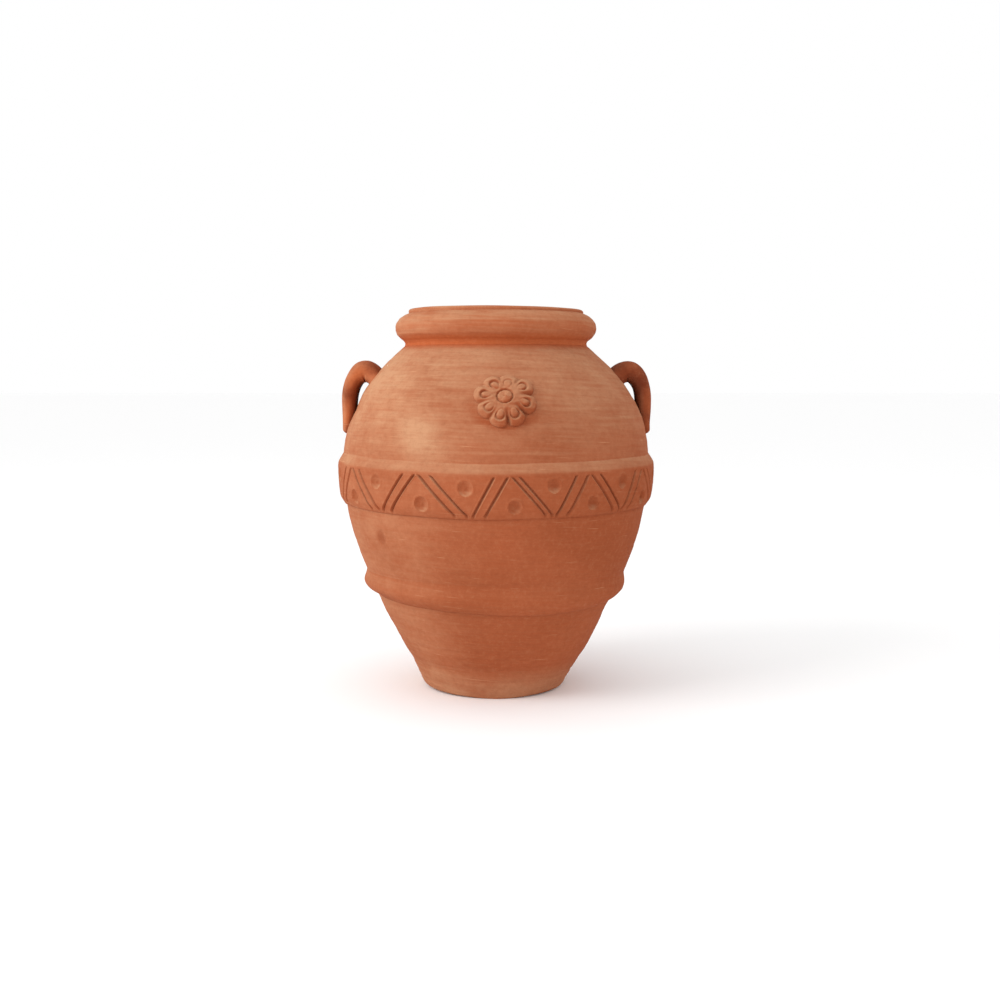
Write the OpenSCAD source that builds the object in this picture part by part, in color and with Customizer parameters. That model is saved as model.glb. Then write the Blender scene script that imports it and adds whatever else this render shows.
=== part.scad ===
// Terracotta oil jar (Tuscan amphora) with two strap handles, an incised belt, a lower cordon and
// a rosette. Each node is one piece of clay as the potter joins it, so neighbouring pieces meet
// face to face. The origin is the centre of the foot, +Z is up, the handles lie on the X axis and
// the rosette faces -Y. Millimetres.

/* [Body] */
// Radius at the foot
foot_r = 94; // [90:1:98]
// Height of the joint between the lower wall and the belly wall
joint_z = 140; // [136:1:144]
// Outer radius at that joint
joint_r = 165; // [163:1:167]
// Height of the widest point of the wall
belly_z = 290; // [287:1:293]
// Outer radius of the widest point of the wall
belly_r = 203; // [201:1:205]
// Height where the shoulder meets the neck
neck_z = 452; // [450:1:454]
// Outer radius of the neck
neck_r = 120; // [119:1:121]
// Thickness of the walls
wall_t = 18; // [15:1:20]
// Share of a wall's curve that the scarf joints slope over
scarf = 0.06; // [0.02:0.01:0.1]

/* [Foot] */
// Thickness of the foot slab
slab_t = 20; // [16:1:24]
// Radius of the drain hole
drain_r = 12.5; // [8:0.5:15]
// Rounding of the foot's edge
foot_round = 8; // [4:1:10]

/* [Neck and rim] */
// Radius of the mouth
mouth_r = 95; // [92:1:98]
// Outer radius of the lip, and of the collar inside the roll
lip_r = 115; // [113:1:117]
// Height of the rim's flat top
top_z = 500; // [498:1:503]
// Rounding of the lip's two edges
lip_round = 5; // [3:0.5:6]
// Height of the roll's upper edge
roll_top = 491; // [489:1:492]
// Height of the roll's lower edge
roll_bottom = 457; // [456:1:459]
// How far the roll stands out from the collar
roll_out = 18; // [12:1:20]

/* [Belt] */
// Height of the belt's lower edge
belt_bottom = 243; // [240:1:246]
// Height of the edge between the belt's face and its sloping top
belt_edge = 299; // [296:1:302]
// Height of the upper end of the sloping top
belt_top = 312; // [308:1:316]
// How far the belt stands out from the widest radius of the wall
belt_out = 6.5; // [4:0.5:9]
// Width of an incised line
cut_w = 2.2; // [1.5:0.1:3]
// Depth of an incised line
cut_d = 1.8; // [1:0.1:2.5]
// Radius of a fingertip dimple
dimple_r = 9; // [7:0.5:10]
// Depth of a fingertip dimple
dimple_d = 3; // [2:0.5:4]

/* [Cordon] */
// Half of the height of the cordon, which covers the joint of the lower wall and the belly
cordon_half = 21; // [18:1:22]
// How far the cordon stands out from the wall
cordon_out = 9; // [6:1:12]

/* [Handles] */
// Outermost reach of a handle from the jar's axis
handle_x = 202.5; // [200:0.5:206]
// Thickness of the strap at its upper root
root_t = 31; // [26:1:31]
// Thickness of the strap halfway down
side_t = 17; // [14:1:19]
// Thickness of the strap at its lower end
tip_t = 9; // [7:1:10]
// Width of the strap at its upper root
root_w = 58; // [52:1:64]
// Width of the strap halfway down
side_w = 50; // [46:1:56]
// Width of the strap at its lower end
tip_w = 44; // [40:1:50]

/* [Rosette] */
// Place on the shoulder, from 0 at the belly to 1 at the neck
rosette_rise = 0.55; // [0.5:0.01:0.6]
// Turn away from the front, towards the right
rosette_turn = 3.5; // [0:0.5:6]
// Number of petals
petals = 8; // [7:1:9]
// Turn of the petals about the rosette's own centre
petal_turn = 31; // [0:1:45]
// Radius of one petal's lobe
petal_r = 13.5; // [12.5:0.5:14]
// Distance from the rosette's centre to the middle of a lobe
petal_reach = 23; // [22:0.5:24]
// Height of the rosette above the wall
rosette_h = 7.5; // [5:0.5:9]
// Radius of the centre button
button_r = 9.5; // [8:0.5:10]
// Radius of the raised drop in each petal
drop_r = 5; // [4:0.5:6]

/* [Hidden] */
$fn = 96;

// Fixed details that aren't worth a control of their own.
neck_groove = 1;
mouth_flare = 3;
flare_h = 5;
belt_tuck = 10;
belt_swell = 22;
belt_crown = 10;
line_top_gap = 4;
line_foot_gap = 8;
low_dimple_gap = 18;
high_dimple_gap = 15;
apex_gap = 0.6;
outer_apex = 0.12;
inner_leg = 0.30;
outer_leg = 0.43;
cordon_sides = 48;
strap_sides = 24;
strap_rings = 20;
strap_corner = 0.75;
through = 40;

clay = "#b9683f";
clay_pale = "#c68a60";
clay_dark = "#a5552f";

// The wall's outer outline is three Bezier spans: foot to joint, joint to belly, belly to neck.
// A place on it is u, from 0 at the foot to 3 at the neck.
steps = 12;
spans = [
    [[foot_r, 0], [foot_r + 23, 40], [joint_r - 20, joint_z - 43], [joint_r, joint_z]],
    [[joint_r, joint_z], [joint_r + 20, joint_z + 43], [belly_r, belly_z - 50], [belly_r, belly_z]],
    [[belly_r, belly_z], [belly_r, belly_z + 60], [neck_r + 65, neck_z - 50], [neck_r, neck_z]]
];

function bezier(p, t) =
    pow(1 - t, 3) * p[0] + 3 * pow(1 - t, 2) * t * p[1] + 3 * (1 - t) * t * t * p[2] + pow(t, 3) * p[3];
function bezier_slope(p, t) =
    3 * (pow(1 - t, 2) * (p[1] - p[0]) + 2 * (1 - t) * t * (p[2] - p[1]) + t * t * (p[3] - p[2]));
function span_of(u) = min(floor(u), 2);
function outer(u) = bezier(spans[span_of(u)], u - span_of(u));
function outward(u) =
    let (d = bezier_slope(spans[span_of(u)], u - span_of(u)))
    [d.y, -d.x] / norm(d);
function raised(u, h) = outer(u) + h * outward(u);

// Outline of the wall between two places on it. Its inner face runs further up by the scarf.
function wall_outline(low, high) = concat(
    [for (k = [0 : steps]) outer(low + (high - low) * k / steps)],
    [for (k = [steps : -1 : 0]) raised(min(low + (high - low) * k / steps + scarf, 3), -wall_t)]
);
// Outline of everything inside the wall's outer face, or inside a face h further out.
function core_outline(h = 0) = concat(
    [[0, 0]],
    [for (k = [0 : 3 * steps]) raised(k / steps, h)],
    [[0, neck_z]]
);
// Points of an ellipse's arc about c, anticlockwise from angle a to angle b.
function arc(c, rx, ry, a, b, n = 10) =
    [for (k = [0 : n]) c + [rx * cos(a + (b - a) * k / n), ry * sin(a + (b - a) * k / n)]];

module core(h = 0) {
    rotate_extrude() polygon(core_outline(h));
}

module foot_slab() {
    color(clay_pale) difference() {
        rotate_extrude() intersection() {
            polygon(core_outline());
            square([2 * foot_r, slab_t]);
            polygon(concat(
                [[0, slab_t], [0, 0]],
                arc([foot_r - foot_round, foot_round], foot_round + 1, foot_round, 270, 350),
                [[2 * foot_r, slab_t]]
            ));
        }
        translate([0, 0, -1]) cylinder(r = drain_r, h = slab_t + 2);
    }
}

module lower_wall() {
    color(clay) rotate_extrude() difference() {
        polygon(wall_outline(0, 1));
        translate([0, -slab_t]) square([2 * foot_r, 2 * slab_t]);
    }
}

module belly_wall() {
    color(clay) rotate_extrude() polygon(wall_outline(1, 2));
}

module shoulder_wall() {
    color(clay_pale) rotate_extrude() polygon(wall_outline(2, 3));
}

// The collar stands on the shoulder's sloping end and carries the mouth's straight bore.
module neck_collar() {
    collar_foot = raised(3, -wall_t);
    color(clay_pale) rotate_extrude() polygon(concat(
        [collar_foot, outer(3), [neck_r - neck_groove, roll_bottom - 2 * neck_groove],
            [lip_r, roll_bottom]],
        arc([lip_r - lip_round, top_z - lip_round], lip_round, lip_round, 0, 90),
        arc([mouth_r + lip_round, top_z - lip_round], lip_round, lip_round, 90, 180),
        [[mouth_r, neck_z], [mouth_r + mouth_flare, neck_z - flare_h]]
    ));
}

module rim_roll() {
    color(clay) rotate_extrude() polygon(
        arc([lip_r, (roll_top + roll_bottom) / 2], roll_out, (roll_top - roll_bottom) / 2, -90, 90, 18)
    );
}

// The belt's face leans in towards its lower edge, as the belly does.
face_r = belly_r + belt_out;
module belt_ring() {
    rotate_extrude() difference() {
        polygon([
            [belly_r - wall_t / 2, belt_bottom], [face_r - belt_tuck, belt_bottom],
            [face_r - belt_tuck / 2, belt_bottom + belt_swell / 3],
            [face_r - belt_tuck / 7, belt_bottom + belt_swell],
            [face_r, belt_edge - belt_crown], [face_r - belt_tuck / 10, belt_edge],
            [belly_r - belt_tuck / 7, belt_top], [belly_r - wall_t / 2, belt_top]
        ]);
        polygon(core_outline());
    }
}

// A straight incised line on the belt, from one place to another, each [turn, height].
module belt_cut(from, to) {
    middle = (from + to) / 2;
    run = (to.x - from.x) * face_r * PI / 180;
    rise = to.y - from.y;
    rotate([0, 0, middle.x]) translate([face_r - 2, 0, middle.y])
        rotate([atan2(rise, run) - 90, 0, 0])
            cube([2 * cut_d + 1, cut_w, norm([run, rise])], center = true);
}

module belt_dimple(turn, z) {
    ball_r = (dimple_r * dimple_r + dimple_d * dimple_d) / (2 * dimple_d);
    rotate([0, 0, turn]) translate([face_r - 1 - dimple_d + ball_r, 0, z]) sphere(r = ball_r);
}

// The potter sets the chevrons out by eye, from the front one round to the right.
chevron_turns = [4.5, 32, 61, 91, 121, 151, 180, 210, 240, 269.5, 298.5, 332.5];
module relief_belt() {
    count = len(chevron_turns);
    pitch = 360 / count;
    high = belt_edge - line_top_gap;
    low = belt_bottom + line_foot_gap;
    color(clay_dark) difference() {
        belt_ring();
        for (i = [0 : count - 1]) {
            apex = chevron_turns[i] - 90;
            next = (i < count - 1 ? chevron_turns[i + 1] : chevron_turns[0] + 360) - 90;
            for (side = [-1, 1]) {
                belt_cut([apex + apex_gap * side, high], [apex + inner_leg * pitch * side, low]);
                belt_cut([apex + outer_apex * pitch * side, high],
                    [apex + outer_leg * pitch * side, low]);
            }
            belt_dimple(apex, belt_bottom + low_dimple_gap);
            belt_dimple((apex + next) / 2, belt_edge - high_dimple_gap);
        }
    }
}

// A half-round roll laid over the joint, as tall again above it as below.
module lower_cordon() {
    out = outward(1);
    up = [-out.y, out.x];
    color(clay) rotate_extrude() difference() {
        polygon([for (k = [0 : cordon_sides - 1])
            let (a = 360 * k / cordon_sides)
            outer(1) + cordon_half * sin(a) * up + cordon_out * cos(a) * out]);
        polygon(core_outline());
    }
}

// A solid through rings of points, each ring the same number of points in the same sense.
module skin(rings) {
    n = len(rings[0]);
    last = len(rings) - 1;
    polyhedron(
        points = [for (ring = rings) each ring],
        faces = concat(
            [[for (j = [0 : n - 1]) j]],
            [for (i = [0 : last - 1], j = [0 : n - 1])
                [i * n + j, (i + 1) * n + j, (i + 1) * n + (j + 1) % n, i * n + (j + 1) % n]],
            [[for (j = [n - 1 : -1 : 0]) last * n + j]]
        )
    );
}

// The strap's middle line, as two Bezier spans in the XZ plane: out of the shoulder, then down.
strap_x = handle_x - side_t / 2;
strap_spans = [
    [[151, 404], [170, 436], [strap_x, 419], [strap_x, 380]],
    [[strap_x, 380], [strap_x, 362], [strap_x + 3, 350], [strap_x + 1, 333]]
];
function strap_size(root, side, tip, s) =
    s < 1 ? root + (side - root) * s : side + (tip - side) * (s - 1);
function strap_ring(s) =
    let (
        p = strap_spans[min(floor(s), 1)],
        t = s - min(floor(s), 1),
        c = bezier(p, t),
        d = bezier_slope(p, t) / norm(bezier_slope(p, t)),
        half_t = strap_size(root_t, side_t, tip_t, s) / 2,
        half_w = strap_size(root_w, side_w, tip_w, s) / 2
    )
    [for (j = [0 : strap_sides - 1])
        let (
            a = 360 * j / strap_sides,
            out = half_t * sign(sin(a)) * pow(abs(sin(a)), strap_corner),
            side = half_w * sign(cos(a)) * pow(abs(cos(a)), strap_corner)
        )
        [c.x - out * d.y, side, c.y + out * d.x]];

module handle() {
    color(clay_dark) difference() {
        skin([for (k = [0 : strap_rings]) strap_ring(2 * k / strap_rings)]);
        core();
    }
}

module right_handle() {
    handle();
}

module left_handle() {
    mirror([1, 0, 0]) handle();
}

// Carries its children to the rosette's place, with their +Z along the wall's outward normal.
module on_shoulder() {
    place = outer(2 + rosette_rise);
    normal = outward(2 + rosette_rise);
    rotate([0, 0, rosette_turn - 90]) translate([place.x, 0, place.y])
        rotate([0, atan2(normal.x, normal.y), 0]) children();
}

module ring_groove(r) {
    difference() {
        cylinder(r = r + cut_w / 2, h = through, center = true);
        cylinder(r = r - cut_w / 2, h = through + 2, center = true);
    }
}

// One pressed sprig: a lobed disc on the wall's curve, with grooves round the button and drops.
module rosette() {
    petal_angles = [for (i = [0 : petals - 1]) petal_turn + 360 * i / petals];
    color(clay_pale) difference() {
        intersection() {
            on_shoulder() for (a = petal_angles) rotate([0, 0, a]) {
                translate([petal_reach, 0, 0]) cylinder(r = petal_r, h = through, center = true);
                translate([0, -petal_r / 2, -through / 2]) cube([petal_reach, petal_r, through]);
            }
            core(rosette_h);
        }
        core();
        difference() {
            on_shoulder() {
                ring_groove(button_r);
                for (a = petal_angles) rotate([0, 0, a]) translate([petal_reach, 0, 0])
                    ring_groove(drop_r);
            }
            core(rosette_h - cut_d);
        }
    }
}

foot_slab();
lower_wall();
belly_wall();
shoulder_wall();
neck_collar();
rim_roll();
relief_belt();
lower_cordon();
left_handle();
right_handle();
rosette();
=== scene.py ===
"""A hand-built terracotta oil jar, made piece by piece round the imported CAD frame.

Every piece is a closed mesh that stands for one CAD node. Shapes are worked out in millimetres on
grids of turn (degrees round the jar, 0 at the front, +90 at the right handle) and height, then
turned into metres. Random numbers are seeded.
"""

import math

import bpy
import numpy as np
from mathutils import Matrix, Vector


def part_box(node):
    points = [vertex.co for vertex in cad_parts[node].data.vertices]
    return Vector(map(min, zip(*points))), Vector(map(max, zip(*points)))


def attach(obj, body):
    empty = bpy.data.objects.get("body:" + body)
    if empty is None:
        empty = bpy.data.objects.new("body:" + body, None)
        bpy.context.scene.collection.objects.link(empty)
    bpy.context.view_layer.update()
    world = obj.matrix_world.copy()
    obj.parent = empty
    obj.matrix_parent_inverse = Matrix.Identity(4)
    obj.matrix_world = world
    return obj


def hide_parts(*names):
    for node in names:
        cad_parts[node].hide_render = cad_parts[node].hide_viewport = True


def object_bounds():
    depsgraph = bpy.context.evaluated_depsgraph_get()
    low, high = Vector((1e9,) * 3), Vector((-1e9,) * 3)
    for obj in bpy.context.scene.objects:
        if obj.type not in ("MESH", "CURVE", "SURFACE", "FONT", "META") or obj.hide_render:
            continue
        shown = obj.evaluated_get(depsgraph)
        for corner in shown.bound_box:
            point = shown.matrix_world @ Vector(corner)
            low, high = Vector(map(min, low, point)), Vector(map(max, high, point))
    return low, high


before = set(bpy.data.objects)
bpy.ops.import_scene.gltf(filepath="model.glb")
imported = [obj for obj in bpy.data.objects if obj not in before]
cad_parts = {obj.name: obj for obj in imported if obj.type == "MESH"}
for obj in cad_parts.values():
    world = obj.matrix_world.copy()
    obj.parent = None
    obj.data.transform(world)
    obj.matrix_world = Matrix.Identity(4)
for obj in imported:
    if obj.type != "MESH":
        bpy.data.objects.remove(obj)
CAD_LOW, CAD_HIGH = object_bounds()

MM = 0.001

# Driving dimensions in millimetres, read from the frame where a node's box gives them.
TOP = CAD_HIGH[2] / MM
SLAB_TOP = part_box("foot_slab")[1][2] / MM
FOOT_R = 94
WALL_T = 18
SCARF = 0.06  # how much further along the wall a scarf joint lies inside than outside
JOINT = (165, 140)
BELLY = (203, 290)
NECK = (120, 452)
DRAIN_R = 12.5
MOUTH_R = 95
LIP_R = 114.8
EMBED = -0.4  # how deep an applied piece's hidden face sits in the wall
SHRUNK = 0.9  # how far the wall stands inside the CAD wall on average, so that its lumps fit
COLUMNS = 420  # places round the jar in most meshes
ROSETTE_TURN, ROSETTE_Z = 3.3, 387

# The wall's outer outline: foot to joint, joint to belly, belly to neck, as (radius, height).
SPANS = np.array([
    [(FOOT_R, 0), (FOOT_R + 23, 40), (JOINT[0] - 20, JOINT[1] - 43), JOINT],
    [JOINT, (JOINT[0] + 20, JOINT[1] + 43), (BELLY[0], BELLY[1] - 50), BELLY],
    [BELLY, (BELLY[0], BELLY[1] + 60), (NECK[0] + 65, NECK[1] - 50), NECK],
], float)


# ---------------------------------------------------------------- curves and noise

def bezier(p, t):
    """Points of cubic Bezier curves. p holds four points, t the places on them."""
    t = np.asarray(t)[..., None]
    return (1 - t) ** 3 * p[0] + 3 * (1 - t) ** 2 * t * p[1] + 3 * (1 - t) * t * t * p[2] + t ** 3 * p[3]


def bezier_slope(p, t):
    t = np.asarray(t)[..., None]
    return 3 * ((1 - t) ** 2 * (p[1] - p[0]) + 2 * (1 - t) * t * (p[2] - p[1]) + t * t * (p[3] - p[2]))


def wall(u, h=0.0):
    """(radius, height) arrays of places u on the wall, 0 at the foot and 3 at the neck, raised by h."""
    u = np.asarray(u, float)
    k = np.clip(np.floor(u).astype(int), 0, len(SPANS) - 1)
    p = np.moveaxis(SPANS[k], -2, 0)
    t = u - k
    place = bezier(p, t)
    slope = bezier_slope(p, t)
    slope = slope / np.linalg.norm(slope, axis=-1, keepdims=True)
    return place[..., 0] + h * slope[..., 1], place[..., 1] - h * slope[..., 0]


WALL_U = np.linspace(0, 3, 1201)
WALL_R, WALL_Z = wall(WALL_U)


def u_at(z):
    """The place on the wall at a height."""
    return np.interp(z, WALL_Z, WALL_U)


def waves(seed, count, rounds, pitch, size):
    """Noise over turn and height that closes on itself round the jar, as a sum of sine waves."""
    rng = np.random.default_rng(seed)
    turns = rng.integers(rounds[0], rounds[1] + 1, count)
    pitches = rng.uniform(pitch[0], pitch[1], count) * rng.choice([-1, 1], count)
    phases = rng.uniform(0, 2 * np.pi, count)

    def at(turn, z):
        total = 0
        for n, p, q in zip(turns, pitches, phases):
            total = total + np.sin(n * np.radians(turn) + 2 * np.pi * z / p + q)
        return size * total / math.sqrt(count)
    return at


LUMPS = waves(3, 14, (1, 6), (70, 260), 0.45)
WIPES = waves(5, 12, (0, 2), (6, 17), 0.10)
DABS = waves(8, 16, (8, 22), (18, 60), 0.12)
EDGES = waves(12, 10, (2, 9), (400, 900), 1.0)
COILS = waves(21, 6, (0, 2), (26, 38), 0.9)
RIPPLES = waves(31, 7, (0, 1), (5, 12), 0.16)
SPRIG_GRAIN = waves(61, 10, (3, 13), (5, 14), 0.16)


def soft_step(x, low, high):
    t = np.clip((x - low) / (high - low), 0, 1)
    return t * t * (3 - 2 * t)


def soft_least(power, *values):
    """The least of some positive values, rounded where they cross."""
    total = 0
    for value in values:
        total = total + np.maximum(value, 1e-6) ** -power
    return total ** (-1 / power)


def hump(x, at, spread):
    """A smooth hill, 1 high at one place and falling away on both sides of it."""
    return np.exp(-((x - at) / spread) ** 2)


def apart(turn, at=0):
    """The signed turn from one place round the jar to another, between -180 and 180 degrees."""
    return (turn - at + 180) % 360 - 180


def side_share(turn, side):
    """1 at the left (side -1) or right (side 1) handle, falling to 0 at the front and back."""
    return np.clip(side * np.sin(np.radians(turn)), 0, 1) ** 1.6


# Where the wall stands out from its curve or back from it: the side (-1 left, 1 right), the height,
# how far up and down that reaches, and how far out. The shoulder gave way on the left and swelled
# on the right when the handles were joined, and the lower wall leans the other way.
SLUMPS = [(-1, 369, 19, -3.1), (-1, 108, 13, 1.4), (1, 360, 24, 1.9), (1, 108, 13, -1.4)]
# The same for the foot, which was pared in on the right and stands out a little on the left.
FOOT_TRIMS = [(1, 13, 18, -4.9), (-1, 6, 10, 1.7)]
WAIST_Z, WAIST_REACH, WAIST_DEPTH = 39, 9, 1.4  # the hollow all round above the foot
THUMB_MARK = (-48, 213, 9.5, 1.4, 192)  # turn, height, radius, depth, and the wall's radius there


def side_swells(table, turn, z):
    """How far the swells in a table push the face out."""
    total = 0
    for side, height, reach, out in table:
        total = total + out * hump(z, height, reach) * side_share(turn, side)
    return total


def hand(turn, z):
    """How far the potter's hands left the outer face from its true curve."""
    marks = LUMPS(turn, z) + WIPES(turn, z) + DABS(turn, z) + side_swells(SLUMPS, turn, z)
    return marks - WAIST_DEPTH * hump(z, WAIST_Z, WAIST_REACH) - SHRUNK


def dent(turn, z, at_turn, at_z, radius, depth, radius_here):
    """A round hollow pressed in with a fingertip, with a low ring of pushed-up clay."""
    across = np.radians(apart(turn, at_turn)) * radius_here
    q = np.hypot(across, z - at_z) / radius
    bowl = -depth * np.clip(1 - q * q, 0, 1) ** 0.65
    ring = 0.2 * depth * hump(q, 1.14, 0.15)
    return bowl + ring


# ---------------------------------------------------------------- meshes

SHARP_ANGLE = 38  # degrees between two faces that meet in a crisp edge


def loft(name, grid, closed, surface, painted_shade=None, dust=None):
    """A closed mesh that stands for the CAD node of its name, over a grid of points in mm, [ring,
    place in ring, xyz]. Every ring closes on itself. closed says that the last ring joins the
    first; if not, both ends get a cap. The first of the two optional arrays is painted shade: how
    much each point is darkened, from 0 to 1, where it was pushed in, sits in a crease or lies under
    a handle. The second, dust, says how much more or less pale dust than usual lies there."""
    rings, places = grid.shape[:2]
    index = np.arange(rings * places).reshape(rings, places)
    ahead = np.roll(index, -1, axis=0) if closed else index[1:]
    here = index if closed else index[:-1]
    corners = [here, ahead, np.roll(ahead, -1, axis=1), np.roll(here, -1, axis=1)]
    quads = np.stack(corners, -1).reshape(-1, 4)
    faces = quads.tolist()
    if not closed:
        faces += [index[0].tolist(), index[-1][::-1].tolist()]
    mesh = bpy.data.meshes.new(name)
    mesh.from_pydata((grid.reshape(-1, 3) * MM).tolist(), [], faces)
    a, b, c = np.moveaxis(grid.reshape(-1, 3)[quads[:, :3]], 1, 0)
    volume = np.einsum("ij,ij->i", a, np.cross(b, c)).sum()
    if volume < 0:
        mesh.flip_normals()
    for kind, values in (("painted_shade", painted_shade), ("dust", dust)):
        if values is not None:
            store = mesh.attributes.new(kind, "FLOAT", "POINT")
            store.data.foreach_set("value", np.clip(values, -1, 1).astype(np.float32).ravel())
    mesh.validate()
    mesh.shade_smooth()
    mesh.set_sharp_from_angle(angle=math.radians(SHARP_ANGLE))
    piece = bpy.data.objects.new(name, mesh)
    bpy.context.scene.collection.objects.link(piece)
    piece.data.materials.append(surface)
    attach(piece, "root")
    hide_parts(name)
    return piece


def around(turn, r, z):
    """Points from turn, radius and height. The front, turn 0, faces -Y."""
    a = np.radians(turn)
    return np.stack(np.broadcast_arrays(r * np.sin(a), -r * np.cos(a), z), -1)


def turns(count=COLUMNS):
    """Places round the jar, one row for each."""
    return np.linspace(0, 360, count, endpoint=False)[:, None]


# ---------------------------------------------------------------- walls

PATCH_TURN, PATCH_Z = -27, 338  # the middle of the dusty patch low on the left of the shoulder
ROSETTE_WALL_R = 170  # the wall's radius behind the rosette


def outer_face(turn, u):
    """(radius, height) of the wall's outer face, with the marks of the hands on it. The marks
    fade towards the neck."""
    z = wall(u)[1]
    push = hand(turn, z) + side_swells(FOOT_TRIMS, turn, z) + dent(turn, z, *THUMB_MARK)
    push = push * (1 - 0.8 * soft_step(z, NECK[1] - 12, NECK[1]))
    return wall(np.broadcast_to(u, push.shape), push)


def inner_face(turn, u):
    """(radius, height) of the wall's inner face, with the ridges of the coils."""
    z = wall(u, -WALL_T)[1]
    fade = soft_step(z, SLAB_TOP, SLAB_TOP + 20) * (1 - soft_step(z, NECK[1] - 37, NECK[1] - 15))
    push = -WALL_T - fade * COILS(turn, z)
    return wall(np.broadcast_to(u, push.shape), push)


def shoulder_dust(turn, z):
    """Dust lies thick in a patch low on the left, and a little all round above the belt. It is
    rubbed off under the rosette and near the neck."""
    turn = apart(turn)
    patch = 0.5 * hump(turn, PATCH_TURN - 0.12 * (z - 335), 9) * hump(z, PATCH_Z, 27)
    low = 0.09 * (1 - soft_step(z, 345, 385)) * soft_step(z, 306, 322)
    across, up = np.radians(turn - ROSETTE_TURN) * ROSETTE_WALL_R, z - ROSETTE_Z
    below = np.clip(0.1 + 0.9 * np.cos(np.arctan2(up, across) + np.radians(100)), 0, 1)
    rubbed = 0.38 * hump(np.hypot(across, 1.15 * up), 38, 6.5) * below
    return patch + low - rubbed - 0.12 * soft_step(z, NECK[1] - 44, NECK[1] - 12)


def belly_dust(turn, z):
    """A thumb rubbed the dust off where it pressed."""
    mark_turn, mark_z = THUMB_MARK[:2]
    return -0.22 * hump(apart(turn), mark_turn, 3.4) * hump(z, mark_z - 2, 11)


def wall_piece(name, low, high, rows, surface, dust):
    """One stage of the wall between two places on it, with a sloping scarf joint at each end."""
    turn = turns()
    out_r, out_z = outer_face(turn, np.linspace(low, high, rows)[None, :])
    in_u = np.clip(np.linspace(high + SCARF, low + SCARF, rows // 3), 0, 3)[None, :]
    in_r, in_z = inner_face(turn, in_u)
    # Painted shade in the thumb mark's hollow.
    painted_shade = np.hstack([-0.3 * dent(turn, out_z, *THUMB_MARK), np.zeros_like(in_r)])
    grid = around(turn, np.hstack([out_r, in_r]), np.hstack([out_z, in_z]))
    more = np.hstack([dust(turn, out_z), np.zeros_like(in_r)])
    return loft(name, grid, True, surface, painted_shade, more)


def lower_wall(surface):
    """Stands on the slab: its lowest rows are level with the slab's top."""
    turn = turns()
    low = float(u_at(SLAB_TOP))
    out_r, out_z = outer_face(turn, np.linspace(low, 1, 84)[None, :])
    out_z[:, 0] = SLAB_TOP
    in_r, in_z = inner_face(turn, np.linspace(1 + SCARF, low + SCARF, 28)[None, :])
    in_z[:, -1] = SLAB_TOP
    grid = around(turn, np.hstack([out_r, in_r]), np.hstack([out_z, in_z]))
    return loft("lower_wall", grid, True, surface)


def foot_wear(turn, z):
    """How much of the foot's lower edge is worn away, as a curve that is bigger at the sides."""
    side = np.abs(np.sin(np.radians(turn)))
    inward = (0.6 + 12.0 * soft_step(side, 0, 0.8)) * (1 - 0.35 * side_share(turn, 1) ** 2)
    inward = inward + 0.3 * EDGES(turn, 0)
    upward = 1.5 + 4.8 * side
    gap = np.clip(1 - z / upward, 0, 1)
    return inward * (1 - np.sqrt(1 - gap ** 2))


def foot_slab(surface):
    """The disc that the jar was built up from, worn round at its edge and drilled for water."""
    turn = turns()
    u = float(u_at(SLAB_TOP)) * np.linspace(0, 1, 26)[None, :] ** 1.7
    side_r, side_z = outer_face(turn, u)
    side_z = side_z - side_z[:, :1]
    side_z = side_z * SLAB_TOP / side_z[:, -1:]
    side_r = side_r - foot_wear(turn, side_z)
    edge_r = side_r[:, :1]
    hollow = 1.3  # the underside is lifted this much inside its edge
    bevel = 2  # radius of the drain hole's rounded edges
    bevel_r = DRAIN_R + bevel
    under_r = bevel_r + (edge_r - bevel_r) * np.linspace(1, 0, 14)[None, 1:]
    under_z = hollow * soft_step(edge_r - under_r, 4, 20) + 0.1 * DABS(turn, under_r)
    under_z = np.maximum(under_z, 0)
    a = np.radians(np.linspace(0, 90, 5))[None, :]
    spread = np.ones_like(turn)
    low_r, low_z = bevel_r - bevel * np.sin(a), under_z[:, -1:] + bevel * (1 - np.cos(a))
    high_r, high_z = bevel_r - bevel * np.cos(a), SLAB_TOP - bevel * (1 - np.sin(a))
    deck_r = np.linspace(bevel_r + 2, edge_r[:, 0] + 4, 12, axis=1)
    deck_z = np.full_like(deck_r, SLAB_TOP)
    r = np.hstack([side_r[:, ::-1], under_r, low_r * spread, high_r * spread, deck_r])
    z = np.hstack([side_z[:, ::-1], under_z, low_z, high_z * spread, deck_z])
    return loft("foot_slab", around(turn, r, z), True, surface)


# ---------------------------------------------------------------- neck and rim

def arc(centre, radii, start, end, count):
    a = np.radians(np.linspace(start, end, count))
    return np.stack([centre[0] + radii[0] * np.cos(a), centre[1] + radii[1] * np.sin(a)], -1)


def upright(r, low, high, count):
    return np.stack([np.full(count, r), np.linspace(low, high, count)], -1)


LIP_ROUND = (3.4, 3.0)  # width and height of the lip's outer rounding
MOUTH_ROUND = 5  # radius of the lip's inner rounding
LIP_DIP = 1.5  # how much lower the lip is on the right than on the left


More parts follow.
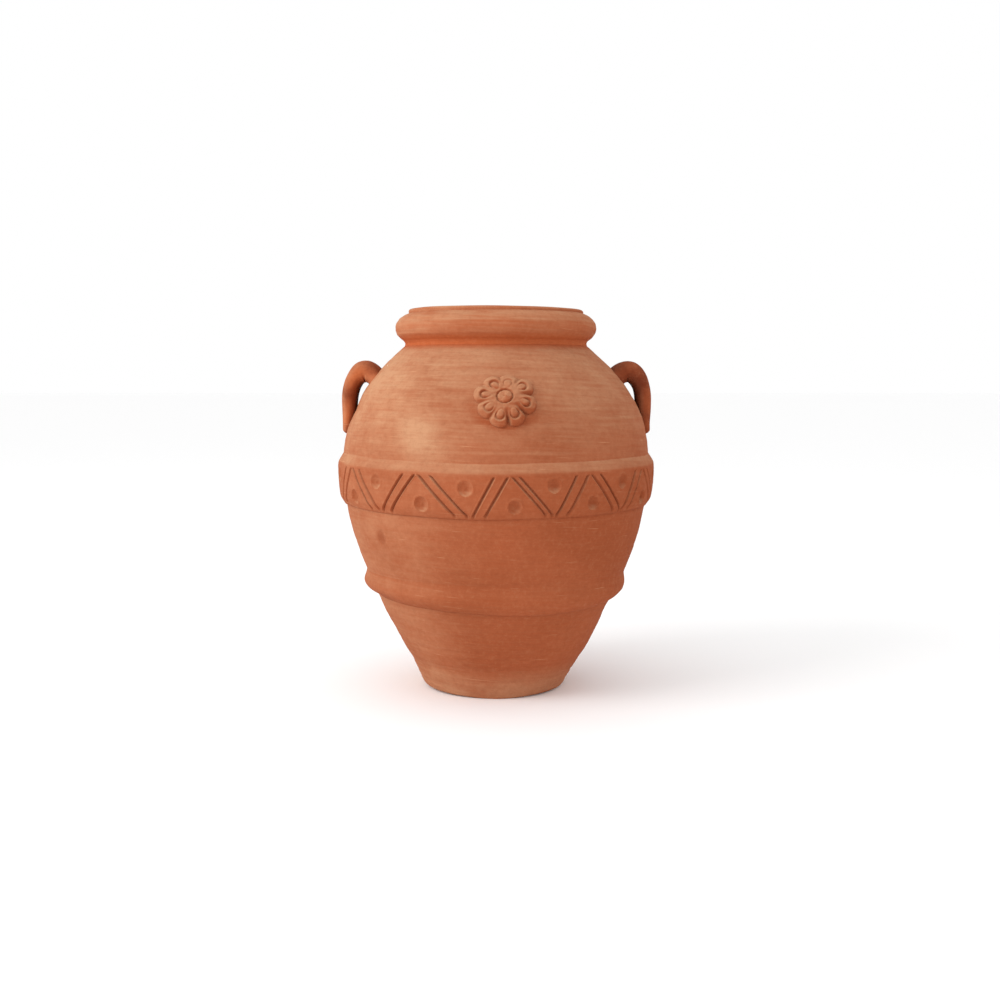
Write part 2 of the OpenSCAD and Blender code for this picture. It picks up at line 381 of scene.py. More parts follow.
def neck_collar(surface):
    """The upright ring on the shoulder's end, with the groove under the roll and the flat lip."""
    foot_r, foot_z = wall(3.0, -WALL_T)
    (out_r, out_z), in_r = LIP_ROUND, MOUTH_ROUND
    outline = np.vstack([
        [NECK, (NECK[0] - 0.6, NECK[1] + 3), (NECK[0] - 0.8, NECK[1] + 6.5), (NECK[0] - 3, NECK[1] + 10)],
        upright(LIP_R - 0.5, NECK[1] + 14, TOP - 10, 6),
        arc((LIP_R - out_r, TOP - out_z), (out_r, out_z), 0, 90, 10),
        arc((MOUTH_R + in_r, TOP - in_r), (in_r, in_r), 95, 180, 10),
        upright(MOUTH_R, TOP - 10, NECK[1], 14),
        [(MOUTH_R + 3, NECK[1] - 5), (foot_r, foot_z)],
    ])
    turn = turns()
    r, z = outline[None, :, 0], outline[None, :, 1]
    loose = soft_step(z, TOP - 16, TOP - 6)
    r = r + 0.5 * LUMPS(turn, z) * soft_step(z, NECK[1], NECK[1] + 18) + 0.35 * DABS(turn, z) * loose
    dip = LIP_DIP / 2 * (1 + np.sin(np.radians(turn))) + 0.12 * EDGES(turn, 0)
    z = z - loose * np.clip(dip, 0, 1.8)
    return loft("neck_collar", around(turn, r, z), True, surface)


# The roll's section as two Bezier spans: its underside out of the neck, then its back up to the lip.
ROLL_R, ROLL_Z = 132.2, 475.5
ROLL = np.array([
    [(119.0, 453.0), (119.6, 461.9), (ROLL_R, 461.0), (ROLL_R, ROLL_Z)],
    [(ROLL_R, ROLL_Z), (ROLL_R, 483.0), (125.3, 490.7), (LIP_R - 1, 494.4)],
])
ROLL_MIDDLE = (117.0, 474.0)


def rim_roll(surface):
    """The thick coil laid round the collar, wiped round and a little uneven."""
    turn = turns()
    t = np.linspace(0, 1, 28)
    outline = np.vstack([bezier(ROLL[0], t), bezier(ROLL[1], t[1:])])[None]
    r, z = outline[..., 0], outline[..., 1]
    out = outline - np.array(ROLL_MIDDLE)
    length = np.linalg.norm(out, axis=-1)
    hold = soft_step(length, 9, 15) * soft_step(r, LIP_R, LIP_R + 8)
    push = (0.012 * EDGES(turn, 0) * length + RIPPLES(turn, z) + 0.5 * DABS(turn, z)) * hold
    r = r + push * out[..., 0] / length
    z = z + push * out[..., 1] / length
    back_z = np.linspace(TOP - 11, NECK[1] + 4, 12)[None, :] + 0 * turn
    back_r = np.full_like(back_z, LIP_R - 1.2)
    grid = around(turn, np.hstack([r, back_r]), np.hstack([z, back_z]))
    return loft("rim_roll", grid, True, surface)


# ---------------------------------------------------------------- belt

# Each chevron was cut by eye: the turns of its point, its left foot and its right foot, and the
# gap between the two lines of its right side.
CHEVRONS = [
    (4.6, -7.6, 19.2, 2.4), (32.7, 20.8, 48.1, 3.6), (61.7, 49.5, 78, 4.2), (91, 79.5, 107, 3.4),
    (121, 108.5, 136, 4.0), (151.5, 138, 166, 4.4), (181, 167.5, 195, 2.8), (210.5, 197, 225, 3.9),
    (241, 227, 255.5, 4.4), (271, 257, 285.5, 3.5), (300.5, 287, 315.2, 4.1), (332.9, 317.6, 350.3, 4.3),
]
BELT_LOW, BELT_EDGE, BELT_TOP = 246, 300, 313
BELT_OUT = 6.6
BELT_R = BELLY[0] + BELT_OUT
ONE_MM = math.degrees(1 / BELT_R)  # the turn of one millimetre on the belt
LINE_GAP = 4.5  # degrees between the tops of a chevron's two left lines
CUT_W, CUT_D = 1.85, 2.3
CUT_REACH = 5  # how far from its line a cut or its burr still counts
DIMPLE_R, DIMPLE_D = 8.3, 2.9
BESIDE = np.array([-3.1, -2.3, -1.6, -0.8, 0, 0.8, 1.6, 2.3, 3.1])  # columns beside a line, in mm
FILL = 1.9  # about how far apart the columns between two lines are
BELT_BACK = 7  # rows on the belt's hidden back


def belt_sag(turn):
    """The belt dips a little at the front, and rides up beside it on the left."""
    ride = 2.3 * hump(apart(turn, -48), 0, 26)
    return -3.0 * np.cos(np.radians(turn)) + ride + 0.5 * EDGES(turn, 0)


def belt_lines():
    """Incised lines as (turn at the top, turn at the bottom), in order round the belt. The left
    foot's two lines stand almost as far apart below as above."""
    lines = []
    for apex, left, right, gap in CHEVRONS:
        lines += [(apex - 0.7 - LINE_GAP, left), (apex - 0.7, left + 4.1)]
        lines += [(apex + 0.7, right - gap), (apex + 0.7 + gap, right)]
    return np.array(lines)


def belt_columns(lines):
    """Turns of the grid's columns at the top and bottom of the lines. Columns follow each line, and
    crowd together where the next line is near."""
    following = np.roll(lines, -1, axis=0)
    following[-1] += 360
    beside = BESIDE * ONE_MM
    reach = beside[-1]
    room = np.minimum(1.0, 0.45 * (following - lines).min(axis=1) / reach)
    columns = []
    for line, after, free, free_before in zip(lines, following, room, np.roll(room, 1)):
        near = beside * np.where(beside < 0, free_before, free)
        columns.append(line + near[:, None])
        span = after - line
        count = max(2, int(round((span.max() - 2 * reach) / (FILL * ONE_MM))))
        share = np.linspace(0, 1, count + 2)[1:-1, None]
        columns.append(line + reach * free + (span - 2 * reach * free) * share)
    return np.vstack(columns).T


def belt_cuts(turn, z, line_turns):
    """How deep the incised lines were pushed in."""
    push = np.zeros_like(turn)
    ends = soft_step(z, BELT_LOW + 0.3, BELT_LOW + 3) * (1 - soft_step(z, BELT_EDGE - 4, BELT_EDGE - 1.5))
    rng = np.random.default_rng(17)
    for line in line_turns:
        across = np.abs(np.radians(apart(turn, line[None, :])) * BELT_R)
        depth = CUT_D * rng.uniform(0.85, 1.15)
        width = CUT_W * rng.uniform(0.9, 1.15)
        cut = -depth * np.exp(-(across / width) ** 2.4)
        burr = 0.2 * depth * hump(across, 1.6 * width, 0.7)
        push += np.where(across < CUT_REACH, (cut + burr) * ends, 0)
    return push


def belt_dimples(turn, z):
    """How deep the fingertip dimples were pushed in: one in every chevron, one between every two."""
    push = np.zeros_like(turn)
    rng = np.random.default_rng(19)
    for i, (apex, left, right, gap) in enumerate(CHEVRONS):
        next_left = CHEVRONS[(i + 1) % len(CHEVRONS)][1]
        between = right + (next_left - right) % 360 / 2
        places = [(apex + 1.1, BELT_LOW + 17, 1.35), (between - 1.0, BELT_EDGE - 14.5, 1.0)]
        for at_turn, at_z, force in places:
            size = DIMPLE_R * rng.uniform(0.93, 1.07)
            at = (at_turn + rng.uniform(-0.6, 0.6), at_z + rng.uniform(-1.2, 1.2))
            push += dent(turn, z, *at, size, force * DIMPLE_D * rng.uniform(0.9, 1.15), BELT_R)
            thumb = (at[0] + 0.7, at[1] - 0.22 * size)
            push += dent(turn, z, *thumb, 0.45 * size, 0.3 * DIMPLE_D, BELT_R)
    return push


def belt_front(turn, rows, line_turns):
    """(radius, height, painted shade) of the belt's face: a flat strip bevelled above, with its marks. The
    painted shade darkens the cuts, the dimples and the crease along the lower edge.
    """
    bevel = BELT_TOP - BELT_EDGE - 1
    wobble = 0.5 * DABS(turn, 0 * rows) + 0.35 * EDGES(turn, 90)
    edge = soft_least(12, np.ones_like(turn), (rows - BELT_LOW) / 16 + 0.30, (BELT_TOP - rows) / bevel)
    edge = edge * np.clip(rows - BELT_LOW, 0, 1) ** 0.5
    z = rows + belt_sag(turn) + 0.4 * wobble * (rows > BELT_EDGE - 10)
    cuts = belt_cuts(turn, rows, line_turns) * soft_step(edge, 0.3, 0.8)
    dimples = belt_dimples(turn, rows)
    face = edge * (BELT_OUT + 0.35 * wobble + 0.5 * WIPES(turn, z)) + cuts + dimples
    # Painted shade in the cuts and dimples, and along the crease under the belt's lower edge.
    painted_shade = 0.72 * np.clip(-cuts / CUT_D, 0, 1) + 0.14 * np.clip(-dimples / DIMPLE_D, 0, 1)
    painted_shade = painted_shade + 0.55 * np.exp(-(rows - BELT_LOW) / 1.6)
    out_r, out_z = wall(u_at(z), face + hand(turn, z) - 0.8 * WIPES(turn, z))
    return out_r, out_z, painted_shade


def relief_belt(surface):
    """A flat strip of clay round the belly, cut with chevrons and dimpled."""
    lines = belt_lines()
    top, bottom = belt_columns(lines)[..., None]
    rows = np.concatenate([
        np.linspace(BELT_TOP, BELT_EDGE + 1.5, 9),
        np.linspace(BELT_EDGE + 0.8, BELT_LOW + 15, 33),
        np.linspace(BELT_LOW + 13.5, BELT_LOW + 1.2, 11),
        [BELT_LOW + 0.7, BELT_LOW + 0.3, BELT_LOW],
    ])[None, :]
    share = np.clip((BELT_EDGE - 2 - rows) / (BELT_EDGE - BELT_LOW - 8), 0, 1)
    turn = top + (bottom - top) * share
    line_turns = lines[:, :1] + (lines[:, 1:] - lines[:, :1]) * share
    out_r, out_z, painted_shade = belt_front(turn, rows, line_turns)
    back = np.linspace(BELT_LOW + 0.5, BELT_TOP - 0.5, BELT_BACK)[None, :] + belt_sag(bottom)
    back_turn = bottom + (top - bottom) * np.linspace(0, 1, BELT_BACK)[None, :]
    in_r, in_z = wall(u_at(back), hand(back_turn, back) + EMBED)
    grid = around(np.hstack([turn, back_turn]), np.hstack([out_r, in_r]), np.hstack([out_z, in_z]))
    painted_shade = np.hstack([painted_shade, np.zeros_like(back_turn)])
    return loft("relief_belt", grid, True, surface, painted_shade)


# ---------------------------------------------------------------- cordon

# Turns and heights of the cordon's lower edge, which was laid by eye.
CORDON_LOW = np.array([(-180, 123), (-120, 127), (-90, 127.8), (-60, 126.5), (-40, 124.8), (-24, 123.4),
                       (-5, 121.3), (7, 119.3), (18, 118.3), (36, 119), (55, 121.3), (75, 126), (90, 129.5),
                       (110, 128.5), (140, 124.5), (180, 123)], float)
CORDON_HIGH = 158  # its upper edge
CORDON_OUT = 9.9  # how far it stands out


def lower_cordon(surface):
    """A soft roll over the wall's joint. It stands out less on the right, and its lower edge was
    smoothed off on the left."""
    turn = turns(480)
    right = np.sin(np.radians(turn))
    low = 0
    for spread in (-8, 0, 8):
        low = low + np.interp(apart(turn, -spread), *CORDON_LOW.T) / 3
    high = CORDON_HIGH - 2.4 * right + 0.8 * EDGES(turn, 150)
    s = np.linspace(0, 1, 50)[None, :] ** 1.4
    z = low + (high - low) * s
    peak = 0.47 - 0.07 * right
    rise = np.where(s < peak, s / peak, (1 - s) / (1 - peak))
    under = 0.58 - 0.10 * right
    low_side = (1 - (1 - np.clip(rise, 0, 1)) ** 2) ** under
    low_side = low_side + (np.sin(rise * np.pi / 2) ** 1.75 - low_side) * side_share(turn, -1)
    shape = np.where(s < peak, low_side, np.sin(rise * np.pi / 2) ** 1.6)
    # Painted shade along the crease under the cordon's lower edge.
    painted_shade = 0.75 * np.exp(-(z - low) / 1.8)
    out = CORDON_OUT - 2.0 * side_share(turn, 1) + 0.3 * EDGES(turn, 70)
    out = (out + 0.5 * DABS(turn, z) + 0.4 * WIPES(turn, z)) * shape
    out_r, out_z = wall(u_at(z), out + hand(turn, z) + side_swells(FOOT_TRIMS, turn, z))
    back = np.linspace(1, 0, 10)[None, :] * (high - low) + low
    in_r, in_z = wall(u_at(back), hand(turn, back) + EMBED)
    painted_shade = np.hstack([painted_shade, np.zeros_like(in_r)])
    grid = around(turn, np.hstack([out_r, in_r]), np.hstack([out_z, in_z]))
    return loft("lower_cordon", grid, True, surface, painted_shade)


# ---------------------------------------------------------------- handles

STRAP_X = 194.2  # how far the strap's middle line is from the jar's axis where it hangs
TIP = 1.85  # where along the strap its rounded tip starts; its root is at 0 and its end at 2
TIP_LENGTH = 0.15
# Places along the strap, with its thickness there, and others with its width.
STRAP_THICK = np.array([(0, 25), (0.1, 26), (0.3, 29.5), (0.45, 29), (0.62, 25.5), (0.8, 22), (1, 20.5),
                        (1.6, 17), (2, 14)])
STRAP_WIDE = np.array([(0, 62), (0.15, 57), (0.4, 53), (1, 51), (1.7, 47), (2, 46)])


def strap_line(side, s):
    """(points, slopes) of the strap's middle line: out of the shoulder, over and down."""
    x = STRAP_X + 0.8 * side
    upper = np.array([(154, 404), (170, 433), (x, 416), (x, 380)], float)
    lower = np.array([(x, 380), (x, 362), (x + 1.2, 350), (x + 2.4, 337)], float)
    first = (s < 1)[:, None]
    t = np.where(s < 1, s, s - 1)
    slope = np.where(first, bezier_slope(upper, t), bezier_slope(lower, t))
    slope = slope / np.linalg.norm(slope, axis=1, keepdims=True)
    return np.where(first, bezier(upper, t), bezier(lower, t)), slope


def strap_size(side, s):
    """(half thickness, half width) along the strap. The root was smeared wide on the shoulder, and
    the left strap is thinner after its bend."""
    thick = np.interp(s, *STRAP_THICK.T) / 2
    thick = thick + 0.45 * (side - 1) * hump(s, 0.64, 0.14)
    width = np.interp(s, *STRAP_WIDE.T) / 2
    width = width * (1 + 0.16 * hump(s, 0, 0.13))
    tip = np.sqrt(np.clip(1 - ((s - TIP) / (TIP_LENGTH + 0.002)).clip(0) ** 2, 0.0004, 1))
    return thick * tip, width * (0.55 + 0.45 * tip)


def handle(name, side, surface):
    """A pulled strap, from its flared root on the shoulder out, down and back to a thumbed tip."""
    tip_a = np.radians(np.linspace(4, 90, 16))
    s = np.concatenate([np.linspace(0, TIP, 84), TIP + TIP_LENGTH * np.sin(tip_a)])
    centre, slope = strap_line(side, s)
    thick, width = strap_size(side, s)
    bend = np.hypot(*np.gradient(slope, axis=0).T) / np.hypot(*np.gradient(centre, axis=0).T)
    under = np.minimum(thick, 0.9 / np.maximum(bend, 0.001))  # the underside doesn't fold at the bend
    a = np.radians(np.linspace(0, 360, 96, endpoint=False))[None, :]
    outer = np.clip(np.sin(a), 0, 1)
    across = width[:, None] * np.sign(np.cos(a)) * np.abs(np.cos(a)) ** 0.78
    out = np.where(np.sin(a) > 0, thick[:, None], -under[:, None]) * np.abs(np.sin(a)) ** 0.86
    groove = 0.42 * hump(across / width[:, None], -0.05, 0.42) * (outer > 0)
    seed = 41 if side > 0 else 43
    grip = waves(seed, 9, (1, 4), (0.5, 1.6), 0.55)
    pull = waves(seed + 1, 8, (5, 14), (1.2, 4.0), 0.16)
    rub = grip(np.degrees(a), s[:, None]) + pull(np.degrees(a), s[:, None])
    out = out * (1 + (rub - groove) / 14)
    across = across * (1 + rub / 60)
    x = centre[:, :1] - out * slope[:, 1:]
    z = centre[:, 1:] + out * slope[:, :1]
    grid = np.stack([side * x, across, z], -1)
    # Painted shade darkens the strap's underside and inner face from the bend down; the strap's top is also
    # darkened near its root, where it meets the shoulder.
    shade = 0.9 * np.clip(-np.sin(a), 0, 1) * soft_step(s, 0.3, 0.9)[:, None]
    root_dark = 0.95 * outer * hump(s, 0.10, 0.16)[:, None]
    return loft(name, grid, False, surface, shade + root_dark)


# ---------------------------------------------------------------- rosette

# The petals in order round the flower: direction from the right, anticlockwise, how far it reaches,
# how crisply its drop came out of the mould, and how deep the crease after it is.
PETALS = [(-144, 37.5, 0.65, 0.9), (-104, 39, 0.8, 1.6), (-64, 39, 0.95, 1.35), (-20, 40, 1, 0.8),
          (31, 38.5, 0.75, 1.0), (77, 33, 0.45, 0.55), (124, 35, 0.9, 0.65), (171, 37.5, 1, 0.9)]
BUTTON_R = 9.1
SPRIG_T = 6.0  # its thickness halfway across
SPRIG_LEAN = 2.0  # how much thicker than that it is on its lower right, and thinner opposite
DROP_IN = 15.5  # how far a petal's drop is from the petal's tip


def rosette_edge(direction):
    """The lobed outline: each direction's reach from the centre."""
    best = np.zeros_like(direction)
    for i, (angle, reach, crisp, cleft) in enumerate(PETALS):
        lobe_r = 13.6 + 0.8 * (i * 5 % 3)
        off = np.radians(apart(direction, angle))
        middle = reach - lobe_r
        inside = np.clip(lobe_r ** 2 - (middle * np.sin(off)) ** 2, 0, None)
        lobe = np.where(np.abs(off) < 0.9, middle * np.cos(off) + np.sqrt(inside), 0)
        best = np.maximum(best, lobe)
    return best


def rosette_height(x, y, share, direction):
    """The pressed sprig's relief: lobes, creases between them, drops in them and a button. Gives
    its height and the painted shade that darkens where the relief was pressed away and round its rim."""
    rho = np.hypot(x, y)
    lean = SPRIG_T + SPRIG_LEAN * np.cos(np.radians(direction + 32))
    plain = lean * (1 - share ** 6) ** 0.5
    h = plain
    for i, (angle, reach, crisp, cleft) in enumerate(PETALS):
        after = PETALS[(i + 1) % len(PETALS)][0]
        crease = angle + (after - angle) % 360 / 2
        off = np.radians(apart(direction, crease))
        line = hump(rho * np.sin(off), 0, 2.2) * soft_step(rho, 14, 29)
        h = h - np.where(np.abs(off) < 0.7, 0.421 * cleft * line * lean, 0)
    for angle, reach, crisp, cleft in PETALS:
        c, s = math.cos(math.radians(angle)), math.sin(math.radians(angle))
        along = x * c + y * s - (reach - DROP_IN)
        across = -x * s + y * c
        q = np.hypot(along / 6.2, across / (4.6 * (1 + 0.04 * along)))
        open_end = 0.15 + 0.85 * soft_step(along, -4, 2)
        h = h - 2.6 * crisp * hump(q, 1, 0.24) * open_end
        h = h + 0.5 * crisp * np.clip(1 - q * q, 0, 1)
    h = h - 2.0 * hump(rho, BUTTON_R, 1.05)
    painted_shade = (plain - h) / 7.5 + 0.3 * soft_step(share, 0.95, 1.0)
    return h + 1.0 * np.clip(1 - (rho / BUTTON_R) ** 2, 0, 1), painted_shade


def rosette(surface):
    """One sprig pressed in a mould and stuck on the front of the shoulder."""
    direction = turns(300).T
    edge = rosette_edge(direction) + 0.25 * EDGES(direction, 0)
    front = np.concatenate([np.linspace(0.004, 0.9, 52), np.linspace(0.912, 1.0, 14)])[:, None]
    back = np.linspace(0.98, 0.004, 10)[:, None]
    rho = np.vstack([front, back]) * edge
    x, y = rho * np.cos(np.radians(direction)), rho * np.sin(np.radians(direction))
    rows = len(front)
    share = np.broadcast_to(front, (rows, edge.size))
    top, painted_shade = rosette_height(x[:rows], y[:rows], share, direction)
    top = top + 0.3 * DABS(direction, rho[:rows])
    top = top + SPRIG_GRAIN(direction, rho[:rows]) * soft_step(rho[:rows], 3, 8)
    hidden = np.zeros((len(back), edge.size))
    length = np.concatenate([[0], np.cumsum(np.hypot(np.diff(WALL_R), np.diff(WALL_Z)))])
    centre = np.interp(ROSETTE_Z, WALL_Z, length)
    u = np.interp(centre + y, length, WALL_U)
    here_r, here_z = wall(u)
    turn = ROSETTE_TURN + np.degrees(x / here_r)
    r, z = wall(u, np.vstack([top, hidden + EMBED]) + hand(turn, here_z))
    painted_shade = np.vstack([painted_shade, hidden])
    return loft("rosette", around(turn, r, z), False, surface, painted_shade)


# ---------------------------------------------------------------- terracotta

# Linear colours of the fired clay, its darker parts, the pale dust on it, which also serves as
# painted light on the left side, the rubbed groove under the roll, and the painted shade in creases.
DEEP = (0.305, 0.069, 0.0245)
BODY = (0.365, 0.087, 0.033)
BLOOM_AND_PAINTED_LIGHT = (0.50, 0.250, 0.135)
RUBBED = (0.46, 0.112, 0.037)
# Painted shade: the colour that creases, hollows and handle undersides are darkened towards.
CREASE_SHADE = (0.125, 0.021, 0.0065)
STROKE_TILT = (0.03, -0.055, 0)  # radians by which the wiping strokes slant
GROOVE_Z = 0.4565  # the height of the groove's middle in metres


class Paint:
    """One material, and the few kinds of node that the clay is made with."""

    def __init__(self, name):
        self.material = bpy.data.materials.new(name)
        self.material.use_nodes = True
        self.nodes, self.links = self.material.node_tree.nodes, self.material.node_tree.links
        self.shader = self.nodes["Principled BSDF"]
        self.place = self.nodes.new("ShaderNodeTexCoord").outputs["Object"]
        self.tilted = self.mapping(self.place, "Rotation", STROKE_TILT)

    def put(self, socket, value):
        """Links a socket to another one, or sets it to a number or a colour."""
        if isinstance(value, bpy.types.NodeSocket):
            self.links.new(value, socket)
        else:
            socket.default_value = (*value, 1) if isinstance(value, tuple) else value

    def mapping(self, vector, kind, amounts):
        node = self.nodes.new("ShaderNodeMapping")
        node.inputs[kind].default_value = amounts
        self.links.new(vector, node.inputs["Vector"])
        return node.outputs["Vector"]

    def noise(self, vector, scale, detail=4.0, rough=0.55, warp=0.0):
        node = self.nodes.new("ShaderNodeTexNoise")
        self.links.new(vector, node.inputs["Vector"])
        inputs = (("Scale", scale), ("Detail", detail), ("Roughness", rough), ("Distortion", warp))
        for key, value in inputs:
            node.inputs[key].default_value = value
        return node.outputs["Fac"]

    def strokes(self, flatness, scale, detail, rough, warp):
        """Noise drawn out into level strokes."""
        return self.noise(self.mapping(self.tilted, "Scale", (1, 1, flatness)), scale, detail, rough, warp)

    def ramp(self, value, low, high, to_low=0.0, to_high=1.0):
        node = self.nodes.new("ShaderNodeMapRange")
        node.interpolation_type = "SMOOTHSTEP"
        self.links.new(value, node.inputs["Value"])
        for key, number in zip(("From Min", "From Max", "To Min", "To Max"), (low, high, to_low, to_high)):
            node.inputs[key].default_value = number
        return node.outputs["Result"]

    def math(self, kind, a, b=0.0):
        node = self.nodes.new("ShaderNodeMath")
        node.operation = kind
        self.put(node.inputs[0], a)
        self.put(node.inputs[1], b)
        return node.outputs[0]

    def weighed(self, *parts):
        """The sum of some (value, weight) pairs."""
        total = 0.0
        for value, weight in parts:
            total = self.math("ADD", self.math("MULTIPLY", value, weight), total)
        return total

    def mix(self, share, a, b):
        node = self.nodes.new("ShaderNodeMix")
        node.data_type = "RGBA"
        self.links.new(share, node.inputs["Factor"])
        self.put(node.inputs[6], a)
        self.put(node.inputs[7], b)
        return node.outputs[2]

    def axes(self, vector):
        """The X, Y and Z of a vector."""
        node = self.nodes.new("ShaderNodeSeparateXYZ")
        self.links.new(vector, node.inputs[0])
        return node.outputs

    def stored(self, name):
        """A value that loft stored on the mesh."""
        node = self.nodes.new("ShaderNodeAttribute")
        node.attribute_name = name
        return node.outputs["Fac"]


def dust_and_painted_light(paint, height, dust, even, left_painted_light, low_dust):
    """How much dust settled at each place, with painted light added on the faces turned to the left,
    towards the key light.
    """
    facing = paint.axes(paint.nodes.new("ShaderNodeNewGeometry").outputs["Normal"])
    facing_up = paint.ramp(facing["Z"], 0.0, 0.8)
    # Painted light: the faces turned to the left, towards the key light, are paled in the dust colour.
    facing_left = paint.ramp(facing["X"], 0.1, -1.0)
    near_foot = paint.ramp(height, 0.008, 0.05, low_dust, 0.0)
    total = paint.weighed((facing_up, dust), (facing_left, left_painted_light), (near_foot, 1.0))
    total = paint.math("ADD", paint.math("ADD", total, even), paint.stored("dust"))
    return paint.math("MAXIMUM", total, 0.0)


def wiping(paint, streak, fine_streak, cloud, streaks):
    """How thin or thick the dust was left, in strokes and blots."""
    blot = paint.strokes(2, 26, 5, 0.65, 0.3)
    parts = ((streak, 0.9 * streaks), (fine_streak, 0.9 * streaks), (cloud, 0.7), (blot, 0.5))
    middle = sum(weight for part, weight in parts) / 2
    return paint.ramp(paint.weighed(*parts), middle - 0.32, middle + 0.32, 0.36, 1.55)


def marked(paint, colour, speck, dark, dirt):
    """The colour with dark smears, mottling, short pale scratches, specks, and painted shade in its creases
    and hollows.
    """
    pale = tuple(1.25 * c for c in BLOOM_AND_PAINTED_LIGHT)
    smear = paint.strokes(2.5, 23, 5, 0.6, 0.4)
    mottle = paint.noise(paint.place, 150, 4, 0.75)
    scratch = paint.strokes(30, 22, 2, 0.4, 0.1)
    layers = [
        (smear, 0.56, 0.78, 0.1 + dirt, dark),
        (mottle, 0.42, 0.72, 0.16, dark),
        (mottle, 0.5, 0.25, 0.14, BLOOM_AND_PAINTED_LIGHT),
        (scratch, 0.70, 0.77, 0.36, pale),
        (speck, 0.66, 0.8, 0.35, dark),
    ]
    for value, low, high, strength, tint in layers:
        colour = paint.mix(paint.ramp(value, low, high, 0.0, strength), colour, tint)
    # Painted shade: darkened towards the crease colour by the stored shade amount.
    return paint.mix(paint.math("MULTIPLY", paint.stored("painted_shade"), 0.7), colour, CREASE_SHADE)


def grainy(paint, grain, fine_streak, speck):
    """The normal of a face with sandy grains, fine strokes and pits."""
    bump = paint.nodes.new("ShaderNodeBump")
    bump.inputs["Strength"].default_value = 0.55
    bump.inputs["Distance"].default_value = 0.0006
    pits = paint.ramp(speck, 0.62, 0.78)
    relief = paint.weighed((grain, 0.5), (fine_streak, 0.9), (pits, -0.5))
    paint.put(bump.inputs["Height"], relief)
    return bump.outputs["Normal"]


def clay(name, deep=DEEP, body=BODY, dust=0.3, even=0.04, left_painted_light=0.4, low_dust=0.0, dirt=0.0,
         streaks=0.5, clouds=7):
    """Matt terracotta. deep and body are the fired colours, and dust is how much pale dust lies
    where the face looks up. even adds dust all over, and low_dust adds it near the foot. The
    faces turned to the left, towards the key light, are paled by the left-side amount: painted
    light. dirt adds dark smears, and streaks is how strongly the dust was wiped into level
    strokes. clouds is how many darker and lighter patches there are to a metre. In the
    groove under the roll the dust was rubbed off altogether."""
    paint = Paint(name)
    height = paint.axes(paint.place)["Z"]
    streak = paint.strokes(9, 9, 6, 0.6, 0.25)
    fine_streak = paint.strokes(24, 16, 5, 0.65, 0.15)
    cloud = paint.noise(paint.place, clouds, 4, 0.5)
    grain = paint.noise(paint.place, 420, 3, 0.7)
    speck = paint.noise(paint.place, 900, 2, 0.5)

    from_groove = paint.math("ABSOLUTE", paint.math("SUBTRACT", height, GROOVE_Z))
    groove = paint.ramp(from_groove, 0.003, 0.013, 1.0, 0.0)
    veil_and_painted_light = paint.math("MULTIPLY", dust_and_painted_light(paint, height, dust, even, left_painted_light, low_dust),
                      wiping(paint, streak, fine_streak, cloud, streaks))
    veil_and_painted_light = paint.math("MULTIPLY", veil_and_painted_light, paint.math("SUBTRACT", 1.0, groove))
    veil_and_painted_light.node.use_clamp = True

    fired = paint.mix(paint.ramp(cloud, 0.3, 0.7), deep, body)
    fired = paint.mix(paint.ramp(fine_streak, 0.35, 0.75, 0.0, 0.2 * streaks), fired, BLOOM_AND_PAINTED_LIGHT)
    fired = paint.mix(paint.math("MULTIPLY", groove, 0.8), fired, RUBBED)
    dark = tuple(0.55 * c for c in deep)
    colour = marked(paint, paint.mix(veil_and_painted_light, fired, BLOOM_AND_PAINTED_LIGHT), speck, dark, dirt)

    paint.put(paint.shader.inputs["Base Color"], colour)
    paint.put(paint.shader.inputs["Roughness"], paint.ramp(streak, 0.3, 0.8, 0.86, 0.97))
    paint.put(paint.shader.inputs["Specular IOR Level"], 0.05)
    paint.put(paint.shader.inputs["Normal"], grainy(paint, grain, fine_streak, speck))
    return paint.material


wall_clay = clay("terracotta_wall", streaks=0.25)
shoulder_clay = clay("terracotta_shoulder", dust=0.6, even=0.08, left_painted_light=0.28, streaks=0.42)
foot_clay = clay("terracotta_foot", low_dust=0.42, streaks=0.3)
rim_clay = clay("terracotta_rim", (0.345, 0.079, 0.028), (0.40, 0.098, 0.036), dust=0.34, even=0.14,
                left_painted_light=0.28, streaks=0.75)
belt_clay = clay("terracotta_belt", dust=0.6, left_painted_light=0.2, streaks=0.3)
cordon_clay = clay("terracotta_cordon", left_painted_light=0.2, streaks=0.3)
# The right handle's clay is a darker copy of the left handle's: painted shade on the side away from the key
# light.
left_clay = clay("terracotta_left_handle", (0.22, 0.046, 0.019), (0.49, 0.130, 0.046), dust=0.12,
                 even=0.0, left_painted_light=0.28, dirt=0.35, streaks=0.1, clouds=26)
shaded_right_handle_clay = clay("terracotta_right_handle_painted_shade", (0.16, 0.031, 0.013), (0.33, 0.077, 0.028), dust=0.08,
                  even=0.0, left_painted_light=0.28, dirt=0.4, streaks=0.1, clouds=26)
rosette_clay = clay("terracotta_rosette", dust=0.75, left_painted_light=0.5, streaks=0.2)


# ---------------------------------------------------------------- the jar

foot_slab(foot_clay)
lower_wall(foot_clay)
wall_piece("belly_wall", 1, 2, 96, wall_clay, belly_dust)
wall_piece("shoulder_wall", 2, 3, 120, shoulder_clay, shoulder_dust)
neck_collar(rim_clay)
rim_roll(rim_clay)
relief_belt(belt_clay)
lower_cordon(cordon_clay)
handle("left_handle", -1, left_clay)
handle("right_handle", 1, shaded_right_handle_clay)
rosette(rosette_clay)


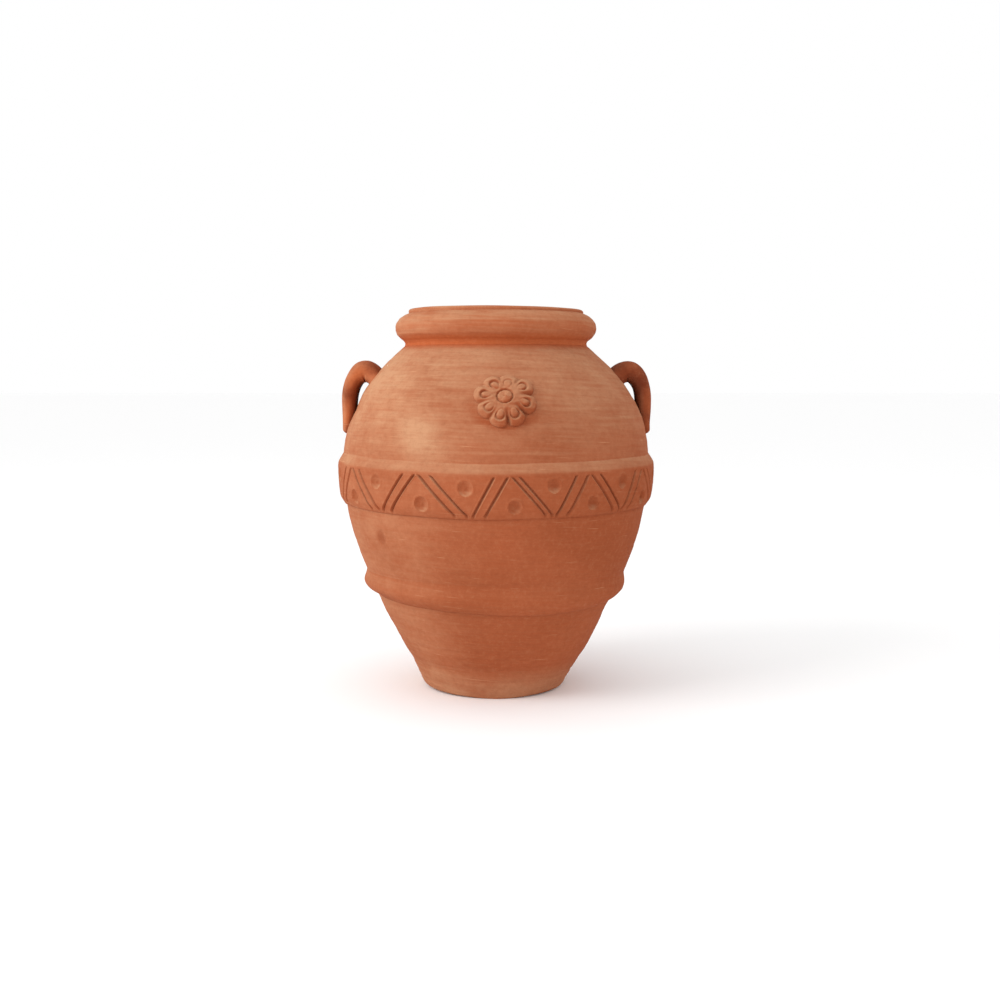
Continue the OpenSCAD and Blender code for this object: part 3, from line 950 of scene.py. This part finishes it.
# ---------------------------------------------------------------- stage, light and camera

FLOOR_HALF = 30  # metres from the jar to the floor's edge
JAR_MIDDLE = (0, 0, 0.25)


def studio():
    """A plain pale floor under a white sky."""
    mesh = bpy.data.meshes.new("floor")
    corners = [(-1, -1), (1, -1), (1, 1), (-1, 1)]
    mesh.from_pydata([(x * FLOOR_HALF, y * FLOOR_HALF, 0) for x, y in corners], [], [(0, 1, 2, 3)])
    floor = bpy.data.objects.new("floor", mesh)
    bpy.context.scene.collection.objects.link(floor)
    paint = bpy.data.materials.new("pale_floor")
    paint.use_nodes = True
    shader = paint.node_tree.nodes["Principled BSDF"]
    shader.inputs["Base Color"].default_value = (0.98, 0.98, 0.98, 1)
    shader.inputs["Roughness"].default_value = 0.9
    shader.inputs["Specular IOR Level"].default_value = 0.1
    mesh.materials.append(paint)
    world = bpy.data.worlds.new("studio")
    world.use_nodes = True
    world.node_tree.nodes["Background"].inputs["Color"].default_value = (1, 1, 1, 1)
    world.node_tree.nodes["Background"].inputs["Strength"].default_value = 1.0
    bpy.context.scene.world = world


def area_light(name, place, size, watts):
    """A soft square light aimed at the jar's middle."""
    data = bpy.data.lights.new(name, "AREA")
    data.size = size
    data.energy = watts
    lamp = bpy.data.objects.new(name, data)
    lamp.location = place
    direction = Vector(JAR_MIDDLE) - Vector(place)
    lamp.rotation_euler = direction.to_track_quat("-Z", "Y").to_euler()
    bpy.context.scene.collection.objects.link(lamp)


def camera():
    """A 45 mm lens 1.67 m from the jar's axis, a little below its rim and tipped down."""
    data = bpy.data.cameras.new("camera")
    data.lens = 45
    data.sensor_width = 36
    data.clip_end = 200
    eye = bpy.data.objects.new("camera", data)
    eye.location = (0, -1.665, 0.4115)
    eye.rotation_euler = (math.radians(90 - 5.62), 0, math.radians(-0.185))
    bpy.context.scene.collection.objects.link(eye)
    bpy.context.scene.camera = eye


studio()
area_light("key", (-2.25, -1.15, 1.6), size=1.6, watts=42)
camera()
bpy.context.scene.view_settings.view_transform = "Standard"
